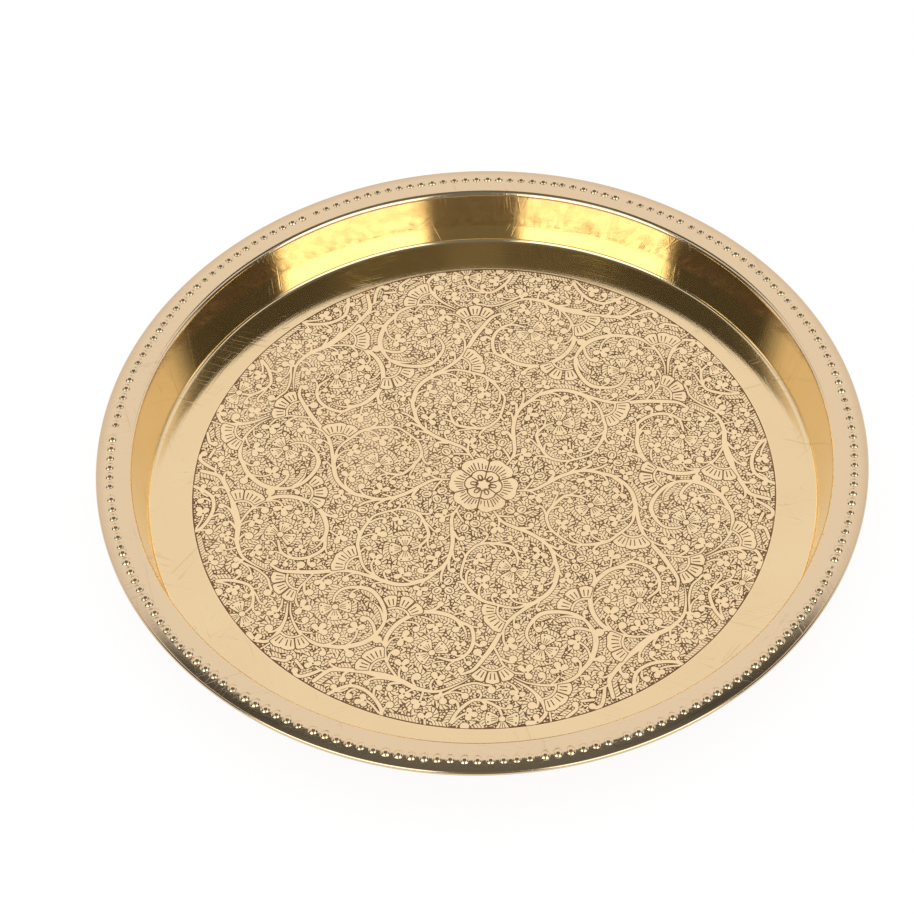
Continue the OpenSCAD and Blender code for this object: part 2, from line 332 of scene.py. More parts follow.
# Places where the dark in the etching has worn off, as x, y and radius on the plate
WORN = [(-76, 70, 20), (-95, 44, 16), (-44, 31, 17), (-48, 15, 13), (-15, 52, 9), (20, 75, 12)]

# Colours, with nothing let through
BRASS = (0.87, 0.695, 0.405, 1)
ENGRAVED_BRASS = (0.96, 0.768, 0.458, 1)
UNDER_BRASS = (0.74, 0.55, 0.33, 1)
WORN_BRASS = (0.60, 0.44, 0.27, 1)
# Brown of the rim: partly grime, partly painted shade on the curl and a painted dark reflection on the
# outer flange
RIM_GRIME_AND_SHADE = (0.52, 0.38, 0.26, 1)
SCRATCH_BROWN = (0.30, 0.20, 0.10, 1)
PIT_BROWN = (0.10, 0.06, 0.03, 1)
THIN_LACQUER = (0.29, 0.152, 0.06, 1)
THICK_LACQUER = (0.175, 0.08, 0.028, 1)
# Share of the brass's colour that is left where it is tarnished, and on the greyer flange
TARNISH_SHARES = (0.93, 0.90, 0.84, 1)
FLANGE_SHARES = (0.90, 0.885, 0.95, 1)
# Radii between which the greyer flange and the browner rim set in; the rim's brown is partly grime and
# partly painted shade
FLANGE_FROM = (137.5, 139.5)
RIM_GRIME_AND_SHADE_FROM = (148.5, 151.5)
# How strongly the rim's grime and painted shade, the scratches and the pits colour the brass
RIM_GRIME_AND_SHADE_SHARE = 0.35
SCRATCH_SHARE = 0.18
PIT_SHARE = 0.8
# Scratches: the direction in degrees, a seed, and how sparse they are
SCRATCHES = [(20, 3.0, 0.56), (74, 11.0, 0.55), (128, 17.0, 0.58), (163, 29.0, 0.57)]

# The tent round the plate is bright over these stretches, in degrees: off the camera's side, then
# rise. Each is two ends and how softly they end, and NO_END lies past every direction.
NO_END = 400
FAR_BACK = ((124, NO_END, 6), (3, 90, 3))
MIDDLE_BACK = ((104, NO_END, 9), (27, 90, 4))
HIGH_BACK = ((66, NO_END, 14), (42, 90, 5))
STRAIGHT_BACK = ((163, NO_END, 3), (40, 64, 2))
LOW_BACK = ((88, NO_END, 6), (-6, 24, 3))
BACK_RISE = (-10, 57.5, 1.5)
PANELS_OFF = (14, 60, 2.5)
PANEL_RISE = (4, 63, 3)
PANEL_CORE_RISE = (21, 45, 2)
OVERHEAD_RISE = (67, 100, 3)
BELOW_RISE = (-NO_END, 0, 1.5)
BEHIND_CAMERA_OFF = (-20, 15, 2.5)
# Strength of each, and of all that they leave dim
BACK_LIGHT = 0.98
PANEL_LIGHT = 1.1
PANEL_CORE_LIGHT = 1.9
OVERHEAD_LIGHT = 0.16
BEHIND_CAMERA_LIGHT = 0.2
DIM_LIGHT = 0.075
# Colour of the light in front and at the back
PANEL_TONE = (1, 1, 0.97, 1)
BACK_TONE = (1, 0.957, 0.99, 1)
# Plain light for rays that aren't glossy
PLAIN_LIGHT = 0.95
WHITE = (1, 1, 1, 1)


def along(degrees):
    return np.array([math.cos(math.radians(degrees)), math.sin(math.radians(degrees))])


def polar(*points):
    """Points from pairs of radius and direction in degrees."""
    return np.array([r * along(a) for r, a in points])


def turned_by(points, degrees):
    c, s = along(degrees)
    return np.asarray(points, float) @ np.array([[c, s], [-s, c]])


def lengths_along(points):
    """Length of a line up to each of its points."""
    return np.concatenate([[0], np.cumsum(np.linalg.norm(np.diff(points, axis=0), axis=1))])


# Corners of the sheet's section, counted from its middle: foot and lip of the wall, and where the
# beads' ground starts and ends
FOOT, LIP, LAND_IN, LAND_OUT = 1, 2, 3, 4


class Section:
    """The sheet's section as a chain of straight runs, from the corners where they would meet."""

    def __init__(self):
        self.bead_r = PLATE_D / 2 - BEAD_INSET
        land_half = BEAD_D / 2 + BEAD_GROUND
        lip = np.array([PLATE_D / 2 - FLANGE_W, SHEET_T + WELL_DEPTH])
        foot = lip - WELL_DEPTH * np.array([math.tan(math.radians(WALL_LEAN)), 1])
        land_in = self.bead_r - land_half
        land_out = self.bead_r + land_half
        rise, fall = math.radians(FLANGE_RISE), math.radians(FLANGE_FALL)
        self.land_z = lip[1] + (land_in - lip[0]) * math.tan(rise)
        edge_r = PLATE_D / 2 - CURL_RADIUS * (1 - math.sin(fall))
        edge_z = self.land_z - (edge_r - land_out) * math.tan(fall)
        # The flange's upper side, as radii and heights: highest under the beads
        peak_z = self.land_z + land_half * math.tan(rise)
        self.crown = [land_in, self.bead_r, edge_r], [self.land_z, peak_z, edge_z]
        self.corners = [
            np.array([0, SHEET_T]), foot, lip, np.array([land_in, self.land_z]),
            np.array([land_out, np.interp(land_out, *self.crown)]), np.array([edge_r, edge_z]),
        ]
        self.bends = [0, FOOT_RADIUS, -LIP_RADIUS, 0, 0, 0]
        self.curl_axis = self.corners[-1] - CURL_RADIUS * along(90 - FLANGE_FALL)
        self.ball_r = ((BEAD_FOOT_D / 2) ** 2 + BEAD_H ** 2) / (2 * BEAD_H)

    def heading(self, i):
        run = self.corners[i + 1] - self.corners[i]
        return math.degrees(math.atan2(run[1], run[0]))

    def arc(self, axis, radius, start, end, step):
        count = math.ceil(abs(end - start) / step)
        return [axis + radius * along(start + (end - start) * k / count) for k in range(count + 1)]

    def turned(self, i, depth, step):
        """The sheet at corner i, on its upper side or that depth below it."""
        before, after = self.heading(i - 1), self.heading(i)
        half_turn = math.radians(abs(after - before) / 2)
        if self.bends[i] == 0:
            return [self.corners[i] + depth / math.cos(half_turn) * along((before + after) / 2 - 90)]
        side = 1 if self.bends[i] > 0 else -1
        radius = abs(self.bends[i])
        axis = self.corners[i] + radius * (math.tan(half_turn) * along(after) + side * along(after + 90))
        return self.arc(axis, radius + side * depth, before - side * 90, after - side * 90, step)

    def well_side(self, start_r, depth):
        """From a radius on the floor out to the beads' ground."""
        points = [np.array([start_r, SHEET_T - depth])]
        for i in (FOOT, LIP, LAND_IN):
            for corner in self.turned(i, depth, WELL_STEP):
                length = np.linalg.norm(corner - points[-1])
                if length > 4 * CREASE:
                    ahead = (corner - points[-1]) / length
                    points += [points[-1] + CREASE * ahead, corner - CREASE * ahead]
                points.append(corner)
        return points

    def edge_side(self, depth, step):
        """From the outer side of the beads' ground round to the end of the curl."""
        top = self.heading(LAND_OUT) + 90
        start = self.turned(LAND_OUT, depth, step)
        curl = self.arc(self.curl_axis, CURL_RADIUS - depth, top, top - CURL_TURN, step)
        return start + [start[0] + CREASE * along(self.heading(LAND_OUT))] + curl


section = Section()


def bead_places():
    """Direction of each bead in degrees, with its place in its strike from 0 to 1 and the strike."""
    steps = BEADS_PER_STRIKE - 1
    step = 360 / (len(STRIKE_GAP_SHARES) * steps + sum(STRIKE_GAP_SHARES))
    beads = []
    at = FIRST_BEAD_AT
    for strike, gap in enumerate(STRIKE_GAP_SHARES):
        for j in range(BEADS_PER_STRIKE if gap else steps):
            beads.append(((at + j * step) % 360, j / steps, strike))
        at += step * (steps + gap)
    return sorted(beads)


def punch_play(place, strike):
    """How far out the punch set a bead, and how much lower than the highest one."""
    # The sines only scatter the strikes
    tilt = PUNCH_TILT * math.sin(strike * 2.4 + 1)
    drift = PUNCH_DRIFT * math.sin(strike * 5.1)
    least, slope, spread = SINK_SHARES
    sink = BEAD_H * (least + slope * place + spread * (1 + math.sin(strike * 3.7)))
    return tilt * (place - 0.5) * PUNCH_L + drift, sink


class BeadedSheet:
    """A turned surface: inner rows of [radius, z], the beads' ground, then outer rows.
    Each point has its share of the way along the section, for the bake's map."""

    def __init__(self, inner, outer, depth, ball_r):
        self.depth = depth
        self.ball_r = ball_r
        self.r_in, self.r_out = inner[-1][0], outer[0][0]
        self.middle_r = (self.r_in + self.r_out) / 2
        self.half_w = (self.r_out - self.r_in) / 2
        self.beads = bead_places()
        angle = np.array([bead[0] for bead in self.beads])
        turn_back = np.where(np.arange(len(angle)) == 0, 360, 0)
        self.before = (angle + np.roll(angle, 1) - turn_back) / 2
        self.after = np.roll(self.before, -1)
        self.after[-1] += 360
        steps = (self.after - self.before)[:, None] * (np.arange(SIDE) / SIDE)
        self.columns = np.radians((self.before[:, None] + steps).ravel())
        self.points = []
        self.faces = []
        first, final = self.turn_rows(inner, outer)
        turned = len(self.points)
        self.set_beads()
        self.points = np.array(self.points)
        on_ground = (np.hypot(*self.points[turned:, :2].T) - self.r_in) / (self.r_out - self.r_in)
        self.shares = np.concatenate([self.shares, first + (final - first) * on_ground])

    def crown(self, out):
        """Height of the ground at a distance out from its middle."""
        return np.interp(self.middle_r + out, *section.crown) - self.depth

    def add(self, x, y, z):
        """Add points and give their numbers."""
        first = len(self.points)
        self.points += np.stack([x, y, z], 1).tolist()
        return np.arange(first, len(self.points))

    def stitch(self, low, high):
        self.faces.extend(zip(low, np.roll(low, -1), np.roll(high, -1), high))

    def turn_rows(self, inner, outer):
        """All rows, with the beads' ground left open. Gives the shares where that starts and ends."""
        chain = np.array(inner + outer)
        path = lengths_along(chain)
        path /= path[-1]
        count = len(self.columns)
        x, y = np.cos(self.columns), np.sin(self.columns)
        rows = [self.add(r * x, r * y, np.full(count, z)) for r, z in chain]
        ground = len(inner)
        for k in range(1, len(rows)):
            if k != ground:
                self.stitch(rows[k - 1], rows[k])
        self.ground_in, self.ground_out = rows[ground - 1], rows[ground]
        self.shares = np.repeat(path, count)
        return path[ground - 1], path[ground]

    def borders(self):
        """Points on the line between each bead's ground and the one before it."""
        made = []
        for t in map(math.radians, self.before):
            first = len(self.points)
            for k in range(1, SIDE):
                r = self.r_in + (self.r_out - self.r_in) * k / SIDE
                self.points.append([r * math.cos(t), r * math.sin(t), self.crown(r - self.middle_r)])
            made.append(list(range(first, len(self.points))))
        return made

    def set_beads(self):
        borders = self.borders()
        column = list(range(len(self.columns))) + [0]
        for c in range(len(self.beads)):
            side = column[c * SIDE:(c + 1) * SIDE + 1]
            loop = self.ground_in[side].tolist() + borders[(c + 1) % len(borders)]
            loop += self.ground_out[side[::-1]].tolist() + borders[c][::-1]
            self.set_bead(c, loop)

    def set_bead(self, c, loop):
        """One bead in its ground, whose outer points are the loop."""
        at, place, strike = self.beads[c]
        out, sink = punch_play(place, strike)
        out = out + section.bead_r - self.middle_r
        ball_z = section.land_z + BEAD_H - sink - section.ball_r
        degree_l = math.radians(1) * self.middle_r
        room = (at - self.before[c]) * degree_l, (self.after[c] - at) * degree_l
        for beside, ring_out, z in reversed(self.bead_rings(room, out, ball_z)):
            t = math.radians(at) + beside / self.middle_r
            r = self.middle_r + ring_out
            ring = self.add(r * np.cos(t), r * np.sin(t), z)
            self.stitch(loop, ring)
            loop = ring
        t, r = math.radians(at), self.middle_r + out
        tip = len(self.points)
        self.points.append([r * math.cos(t), r * math.sin(t), ball_z + self.ball_r])
        self.faces.extend((a, b, tip) for a, b in zip(loop, np.roll(loop, -1)))

    def bead_rings(self, room, bead_out, ball_z):
        """Rings of a bead and the ground round it: places along the rim, out from it and up."""
        left, right = room
        half_w = self.half_w
        bottom = [(-left + (left + right) * k / SIDE, -half_w) for k in range(SIDE + 1)]
        up = [(right, -half_w + 2 * half_w * k / SIDE) for k in range(1, SIDE)]
        top = [(right - (left + right) * k / SIDE, half_w) for k in range(SIDE + 1)]
        down = [(-left, half_w - 2 * half_w * k / SIDE) for k in range(1, SIDE)]
        rim = np.array(bottom + up + top + down) - [0, bead_out]
        turn = np.arctan2(rim[:, 1], rim[:, 0])
        reach = np.linalg.norm(rim, axis=1)
        foot = math.sqrt(self.ball_r ** 2 - (self.crown(0) - ball_z) ** 2)
        rings = []
        for share in RING_SHARES:
            rho = np.minimum(foot * share, reach * (FILL_SHARES[0] + FILL_SHARES[1] * share))
            out = bead_out + rho * np.sin(turn)
            cap = ball_z + np.sqrt(np.maximum(self.ball_r ** 2 - rho ** 2, 0)) - self.crown(out)
            groove = GROOVE_DEPTH * np.exp(-((rho / foot - GROOVE_AT_SHARE) / GROOVE_W_SHARE) ** 2)
            rise = (cap + np.hypot(cap, BEAD_BEND)) / 2 - groove
            rings.append((rho * np.cos(turn), out, self.crown(out) + rise))
        return rings

    def close_middle(self):
        """A fan inside the first row."""
        ring = np.arange(len(self.columns))
        middle = len(self.points)
        self.faces += [(a, middle, b) for a, b in zip(ring, np.roll(ring, -1))]
        self.points = np.vstack([self.points, [[0, 0, 0]]])
        self.shares = np.append(self.shares, 0)

    def strip_map(self, mesh):
        """Strips for the bake, one above the other: each is a sector, seen along its section."""
        corner = corner_points(mesh)
        first = np.empty(len(mesh.polygons), int)
        mesh.polygons.foreach_get("loop_start", first)
        sides = np.diff(np.append(first, len(corner)))
        angle = np.degrees(np.arctan2(self.points[corner, 1], self.points[corner, 0]))
        start = np.repeat(angle[first], sides)
        ahead = (angle - start + 180) % 360 - 180
        middle = (start + np.repeat(np.add.reduceat(ahead, first) / sides, sides)) % 360
        width = 360 / STRIPS
        strip = np.floor(middle / width)
        across = ((start + ahead - middle + 180) % 360 - 180 + middle) / width - strip
        inside = 1 - 2 * STRIP_MARGIN
        uv = np.stack([STRIP_MARGIN + inside * across,
                       (strip + STRIP_MARGIN + inside * self.shares[corner]) / STRIPS], 1)
        set_bake_map(mesh, np.clip(uv, 0, 1))


def corner_points(mesh):
    """The point of each corner of each face."""
    corner = np.empty(len(mesh.loops), int)
    mesh.loops.foreach_get("vertex_index", corner)
    return corner


def set_bake_map(mesh, uv):
    mesh.uv_layers.new(name="OFBake").data.foreach_set("uv", uv.ravel())


def flat_map(mesh, points):
    """A plain map from above for the bake."""
    low, size = points[:, :2].min(0), np.ptp(points[:, :2], axis=0).max()
    set_bake_map(mesh, (points[corner_points(mesh), :2] - low) / size)


def new_piece(name, points, faces, material, flip=False):
    """A smooth mesh from points in millimetres, which stands for the CAD sheet."""
    mesh = bpy.data.meshes.new(name)
    faces = [tuple(int(i) for i in face) for face in faces]
    if flip:
        faces = [face[::-1] for face in faces]
    mesh.from_pydata((np.asarray(points) * MM).tolist(), [], faces)
    mesh.materials.append(material)
    mesh.polygons.foreach_set("use_smooth", [True] * len(mesh.polygons))
    mesh.update()
    piece = bpy.data.objects.new(name, mesh)
    bpy.context.scene.collection.objects.link(piece)
    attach(piece, "root")
    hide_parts("plate_sheet")
    return piece


def smooth_line(points, step):
    """Points close together on a smooth curve through the given ones."""
    p = np.array(points, float)
    p = np.vstack([2 * p[0] - p[1], p, 2 * p[-1] - p[-2]])
    made = []
    for a, b, c, d in zip(p, p[1:], p[2:], p[3:]):
        count = max(1, round(np.linalg.norm(c - b) / step))
        t = (np.arange(count) / count)[:, None]
        bend = (2 * a - 5 * b + 4 * c - d) * t ** 2 + (3 * b - a - 3 * c + d) * t ** 3
        made.append((2 * b + (c - a) * t + bend) / 2)
    return np.vstack(made + [p[-2:-1]])


def round_dot(middle, radius, sides=10):
    turn = 2 * math.pi * np.arange(sides) / sides
    return np.array(middle) + radius * np.stack([np.cos(turn), np.sin(turn)], 1)


def convex(shape):
    """Whether an outline turns the same way at each of its corners, and nowhere runs straight on."""
    run = np.roll(shape, -1, 0) - shape
    after = np.roll(run, -1, 0)
    cross = run[:, 0] * after[:, 1] - run[:, 1] * after[:, 0]
    return abs(np.sum(np.sign(cross))) == len(shape) and np.abs(cross).min() > LEAST_TURN


def facing_up(shape):
    x, y = shape.T
    return shape if np.sum(x * np.roll(y, -1) - y * np.roll(x, -1)) > 0 else shape[::-1]


def ribbon(points, widths, step=0.9):
    """Four-sided pieces along a smooth line, with a round one at each end."""
    line = smooth_line(points, step)
    run = np.gradient(line, axis=0)
    run /= np.linalg.norm(run, axis=1)[:, None]
    half = np.interp(np.linspace(0, 1, len(line)), np.linspace(0, 1, len(widths)), widths) / 2
    side = half[:, None] * np.stack([-run[:, 1], run[:, 0]], 1)
    pieces = [np.array([a - p, b - q, b + q, a + p]) for a, p, b, q in zip(line, side, line[1:], side[1:])]
    pieces = [piece for piece in pieces if convex(piece)]
    return pieces + [round_dot(line[0], half[0], 8), round_dot(line[-1], half[-1], 8)]


class Drawing:
    """Flat shapes in layers. Even layers are bright metal and odd ones are etched ground."""

    def __init__(self):
        self.layers = [[] for _ in range(5)]

    def put(self, layer, shapes, at=(0, 0), towards=0):
        for shape in shapes:
            self.layers[layer].append(turned_by(shape, towards) + at)

    def put_edged(self, outline, middle_r, edge_share, at, towards):
        """A bright shape, and below it a dark one that is larger by a share."""
        middle = [middle_r, 0]
        self.put(1, [(outline - middle) * edge_share + middle], at, towards)
        self.put(2, [outline], at, towards)

    def ring_petal(self, at, towards):
        """A petal of a blossom: a ring with a rounded bar inside."""
        egg = round_dot((0, 0), 1, 14) * [2.1, 1.8]
        for layer, share in ((1, 1.18), (2, 1), (3, [0.64, 0.6])):
            self.put(layer, [egg * share + [3.25, 0]], at, towards)
        self.put(4, ribbon([(1.9, 0), (3.6, 0)], (1.0, 1.3), 2), at, towards)

    def wedge_petal(self, at, towards):
        """A petal of a flower: it widens outwards, with bars at its root and two dots."""
        outline = np.array([(1.5, -1.1), (4.8, -3.0), (5.7, -2.9), (6.2, -1.6), (6.35, 0),
                            (6.2, 1.6), (5.7, 2.9), (4.8, 3.0), (1.5, 1.1)])
        self.put_edged(outline, 4.2, 1.13, at, towards)
        self.put(3, [round_dot((5.3, y), 0.38, 8) for y in (-1.6, 1.6)], at, towards)
        for y in (-1, 0, 1):
            self.put(3, ribbon([(1.9, 0.5 * y), (4.1, 1.1 * y)], (0.24, 0.3), 3), at, towards)

    def fan(self, at, directions):
        """Three segments with slits round a band."""
        overhang = 17
        band_r, band_w = 5.55, 0.9
        low, high = min(directions) - overhang, max(directions) + overhang
        band = [band_r * along(low + (high - low) * k / 8) for k in range(9)]
        self.put(2, ribbon(band, (band_w, band_w), 1.5), at)
        outline = polar((6.4, -13.5), (10.8, -14.5), (11.4, -12), (11.8, 0), (11.4, 12), (10.8, 14.5),
                        (6.4, 13.5))
        for towards in directions:
            self.put_edged(outline, 8.9, 1.14, at, towards)
            for off in (-5.5, 5.5):
                slit = polar((6.9, off - 1.6), (9.9, off - 1.5), (9.9, off + 1.5), (6.9, off + 1.6))
                self.put(3, [slit], at, towards)

    def rosette_petals(self, towards=-73):
        """The rosette's inner and outer petal, which five more turns complete."""
        inner = polar((3.2, -24), (6.4, -28), (7.2, -16), (7.45, 0), (7.2, 16), (6.4, 28), (3.2, 24))
        self.put(2, [inner], towards=towards)
        self.put(3, ribbon([(3.0, 0), (4.4, 0)], (2.2, 2.2), 2), towards=towards)
        self.put(4, ribbon([(3.5, 0), (4.6, 0)], (0.8, 0.9), 2), towards=towards)
        outer = polar((7.2, -27.8), (12, -28.6), (13.4, -22), (14, -14), (13.9, -7), (13.5, 0), (13.9, 7),
                      (14, 14), (13.4, 22), (12, 28.6), (7.2, 27.8), (7.75, 16), (7.9, 0), (7.75, -16))
        self.put(2, [outer], towards=towards - 0.5)
        start, half_w = 8.1, 0.22
        bars = ((-24, 10), (-15.5, 11), (-7, 11.6), (2, 12), (8.5, 11.3), (15.5, 10.9), (22.5, 10.1))
        for off, end in bars:
            bar = np.array([(start, -half_w), (end, -half_w), (end, half_w), (start, half_w)])
            self.put(3, [bar], towards=towards - 0.5 + off)

    def stems_and_leaves(self):
        for widths, points in STEMS:
            self.put(0, ribbon(points, widths))
        for width, points in LEAVES:
            self.put(0, ribbon(points, (width, width, LEAF_TIP_W)))

    def tendril(self, x, y, radius, width, points):
        """A curl that thickens towards the knob at its end."""
        self.put(0, ribbon(points + [(x, y)], (0.8 * width, width, width, 1.2 * width), 0.6))
        self.put(0, [round_dot((x, y), radius, 12)])

    def bud(self, dot, lobes, stem):
        """Lobes that widen from a dark dot, on a stem."""
        self.put(0, ribbon(stem, (BUD_STEM_W, BUD_STEM_W)))
        self.put(0, [round_dot((x, y), radius, 12) for x, y, radius in lobes])
        for x, y, radius in lobes:
            self.put(0, ribbon([dot, (x, y)], (BUD_NECK_W, BUD_LOBE_SHARE * radius), 1.5))
        self.put(3, [round_dot(dot, BUD_DOT_R, 8)])


def one_sixth():
    """The motifs of one sixth of the ornament, some of which reach into its neighbours."""
    drawing = Drawing()
    drawing.put(2, [round_dot((0, 0), ROSETTE_EYE_R, 24)])
    drawing.rosette_petals()
    drawing.stems_and_leaves()
    for tendril in TENDRILS:
        drawing.tendril(*tendril)
    for bud in BUDS:
        drawing.bud(*bud)
    for at, directions in BLOSSOMS:
        for towards in directions:
            drawing.ring_petal(at, towards)
        drawing.put(2, [round_dot((0, 0), BLOSSOM_EYE_R)], at)
    for at, directions in FLOWERS:
        for towards in directions:
            drawing.wedge_petal(at, towards)
        drawing.put(2, [round_dot((0, 0), FLOWER_EYE_R, 12)], at)
    for at, directions in FANS:
        drawing.fan(at, directions)
    return drawing


class Ground:
    """Distance from each point of a grid to the nearest motif, and the rows of strokes that follow it."""

    low = np.array([-66.0, -122.0])
    size = np.array([132, 112])
    step = 0.3
    slope_step = 0.45
    # Distances are true up to here, and no greater ones are needed
    reach = 7.5

    def __init__(self):
        count = (self.size / self.step).astype(int)
        x = self.low[0] + self.step * np.arange(count[0])
        y = self.low[1] + self.step * np.arange(count[1])
        self.x, self.y = np.meshgrid(x, y, indexing="ij")
        self.far = np.maximum(BORDER_R - BORDER_W / 2 - np.hypot(self.x, self.y), 0)

    def keep_clear(self, shape):
        """Shorten the distances round one convex shape."""
        first = np.maximum(((shape.min(0) - self.reach - self.low) / self.step).astype(int), 0)
        final = np.maximum(((shape.max(0) + self.reach - self.low) / self.step).astype(int), 0)
        window = (slice(first[0], final[0]), slice(first[1], final[1]))
        x, y = self.x[window], self.y[window]
        if x.size == 0:
            return
        near = np.full(x.shape, 1e9)
        inside = np.ones(x.shape, bool)
        for a, b in zip(shape, np.roll(shape, -1, 0)):
            run = b - a
            share = np.clip(((x - a[0]) * run[0] + (y - a[1]) * run[1]) / max(run @ run, 1e-12), 0, 1)
            near = np.minimum(near, np.hypot(x - a[0] - share * run[0], y - a[1] - share * run[1]))
            inside &= run[0] * (y - a[1]) - run[1] * (x - a[0]) >= 0
        near[inside] = 0
        self.far[window] = np.minimum(self.far[window], near)

    def at(self, places):
        """Distance at places between the grid's points."""
        place = (places - self.low) / self.step
        i = np.clip(place.astype(int), 0, np.array(self.far.shape) - 2)
        u, v = (place - i).T
        i, j = i.T
        low = self.far[i, j] * (1 - u) + self.far[i + 1, j] * u
        high = self.far[i, j + 1] * (1 - u) + self.far[i + 1, j + 1] * u
        return low * (1 - v) + high * v

    def lines(self, level):
        """Lines of one distance, as ordered points."""
        above = self.far > level
        mixed = above[:-1, :-1].astype(int) + above[1:, :-1] + above[:-1, 1:] + above[1:, 1:]
        links = {}
        for i, j in np.argwhere((mixed > 0) & (mixed < 4)):
            sides = [((i, j), (i + 1, j), 0), ((i + 1, j), (i + 1, j + 1), 1),
                     ((i, j + 1), (i + 1, j + 1), 0), ((i, j), (i, j + 1), 1)]
            edges = [(*a, upward) for a, b, upward in sides if above[a] != above[b]]
            for a, b in zip(edges[::2], edges[1::2]):
                links.setdefault(a, []).append(b)
                links.setdefault(b, []).append(a)
        for chain in chains(links):
            yield np.array([self.crossing(edge, level) for edge in chain])

    def crossing(self, edge, level):
        i, j, upward = edge
        here = self.far[i, j]
        there = self.far[i, j + 1] if upward else self.far[i + 1, j]
        share = (level - here) / (there - here)
        return self.low + self.step * np.array([i + (0 if upward else share), j + (share if upward else 0)])

    def uphill(self, places):
        """Direction away from the nearest motif."""
        d = self.slope_step
        slope = np.stack([self.at(places + [d, 0]) - self.at(places - [d, 0]),
                          self.at(places + [0, d]) - self.at(places - [0, d])], 1)
        return slope / np.maximum(np.linalg.norm(slope, axis=1), 1e-6)[:, None]

    def strokes(self, row):
        """Short bright strokes side by side along one row, each with its middle."""
        made = []
        for line in self.lines(OUTLINE_W + ROW_PITCH * row + FOOT_L):
            reach = lengths_along(line)
            count = round(reach[-1] / STROKE_PITCH)
            if count < 2:
                continue
            where = (np.arange(count) + 0.5) * reach[-1] / count
            middle = np.stack([np.interp(where, reach, line[:, 0]), np.interp(where, reach, line[:, 1])], 1)
            up = self.uphill(middle)
            feet = middle - FOOT_L * turned_by(up, FOOT_SLANT)
            rungs = [rung(feet), rung(middle), rung(self.heads(middle, turned_by(up, HEAD_SLANT)))]
            for (a, b), (c, d) in zip(rungs, rungs[1:]):
                made += [(np.stack([p, q, r, s]), m) for p, q, r, s, m in zip(a, b, d, c, middle)]
        return made

    def heads(self, middle, ahead):
        """Where strokes end: at their length, or at the ridge halfway to the next motif."""
        lengths = HEAD_L * np.arange(1, HEAD_STEPS + 1) / HEAD_STEPS
        ridge = np.argmax(np.stack([self.at(middle + ahead * length) for length in lengths]), axis=0)
        stopped = np.maximum(lengths[ridge] - LINE_W / 2, LEAST_HEAD_L)
        return middle + ahead * np.where(ridge == HEAD_STEPS - 1, HEAD_L, stopped)[:, None]

    def grains(self, strokes):
        """Round bright grains where the strokes leave a gap wide enough for one."""
        beside = Ground()
        beside.far[:] = self.reach
        beside.reach = GRAIN_REACH
        for stroke, _ in strokes:
            beside.keep_clear(facing_up(stroke))
        room = np.minimum(self.far - OUTLINE_W, beside.far - LINE_W)
        made = []
        for _ in range(MOST_GRAINS):
            i, j = np.unravel_index(np.argmax(room), room.shape)
            if room[i, j] < GRAIN_R[0]:
                break
            size = min(room[i, j], GRAIN_R[1])
            middle = np.array([self.x[i, j], self.y[i, j]])
            made.append((round_dot(middle, size, 7), middle))
            room = np.minimum(room, np.hypot(self.x - middle[0], self.y - middle[1]) - size - LINE_W)
        return made


def chains(links):
    """Runs of linked edges, from end to end and then the closed ones. Very short runs are left out."""
    ends = [edge for edge, ties in links.items() if len(ties) == 1]
    for start in ends + list(links):
        if start in links:
            chain = [start]
            while chain[-1] in links:
                ties = [edge for edge in links.pop(chain[-1]) if edge in links]
                if ties:
                    chain.append(ties[0])
            if len(chain) > 4:
                yield chain


def rung(ends):
    """The two sides of each stroke of a row, with a dark line between each and the next."""
    gap = np.gradient(ends, axis=0)
    size = np.linalg.norm(gap, axis=1)[:, None]
    gap *= np.clip(size - LINE_W, LEAST_STROKE_W, MOST_STROKE_W) / 2 / np.maximum(size, 1e-6)
    return ends - gap, ends + gap


class Cut:
    """Convex shapes laid over one another in one sixth. The topmost says whether a place is bright."""

    low, high = -90 - SIXTH / 2, -90 + SIXTH / 2
    turns = (-SIXTH, 0, SIXTH)

    def __init__(self):
        self.shapes = []
        self.bright = []
        self.arc = [self.low + k for k in range(SIXTH + 1)]
        self.add(np.vstack([[(0, 0)], polar(*[(ORNAMENT_R, a) for a in self.arc])]), False)

    def add(self, shape, bright):
        self.shapes.append(facing_up(shape))
        self.bright.append(bright)

    def lay_ground(self, ground):
        strokes = [stroke for row in range(ROWS) for stroke in ground.strokes(row) if convex(stroke[0])]
        for shape, middle in strokes + ground.grains(strokes):
            r, turn = np.hypot(*middle), math.degrees(math.atan2(middle[1], middle[0]))
            if self.low < turn < self.high and ROSETTE_R < r < BORDER_R - BORDER_W:
                near_side = min(turn - self.low, self.high - turn) * r < NEAR_SIDE
                for k in self.turns if near_side else (0,):
                    self.add(turned_by(shape, k), True)

    def lay_motifs(self, drawing):
        for layer, drawn in enumerate(drawing.layers):
            for shape in drawn:
                for turn in self.turns:
                    copy = turned_by(shape, turn)
                    angles = np.degrees(np.arctan2(copy[:, 1], copy[:, 0]))
                    inside = self.low - SPARE < angles.max() and angles.min() < self.high + SPARE
                    if inside or np.hypot(*copy.mean(0)) < ROSETTE_R + ROSETTE_SPARE:
                        self.add(copy, layer % 2 == 0)

    def lay_border(self):
        """A dark ring, and bright metal outside it."""
        inner, outer = BORDER_R - BORDER_W / 2, BORDER_R + BORDER_W / 2
        for low_r, high_r, bright in ((inner, outer, False), (outer, ORNAMENT_R + BEYOND, True)):
            self.add(polar(*[(low_r, a) for a in self.arc], *[(high_r, a) for a in self.arc[::-1]]), bright)

    def triangles(self):
        """Flat points, corners, and whether each triangle is bright."""
        starts = np.cumsum([0] + [len(shape) for shape in self.shapes])
        faces = [list(range(a, b)) for a, b in zip(starts, starts[1:])]
        flat = [Vector(p) for p in np.vstack(self.shapes).tolist()]
        places, _, corners, _, _, over = delaunay_2d_cdt(flat, [], faces, 0, MERGE, True)
        kept = [k for k, below in enumerate(over) if 0 in below]
        tone = np.array([self.bright[max(over[k])] for k in kept])
        return np.array([tuple(p) for p in places]), np.array([corners[k] for k in kept]), tone


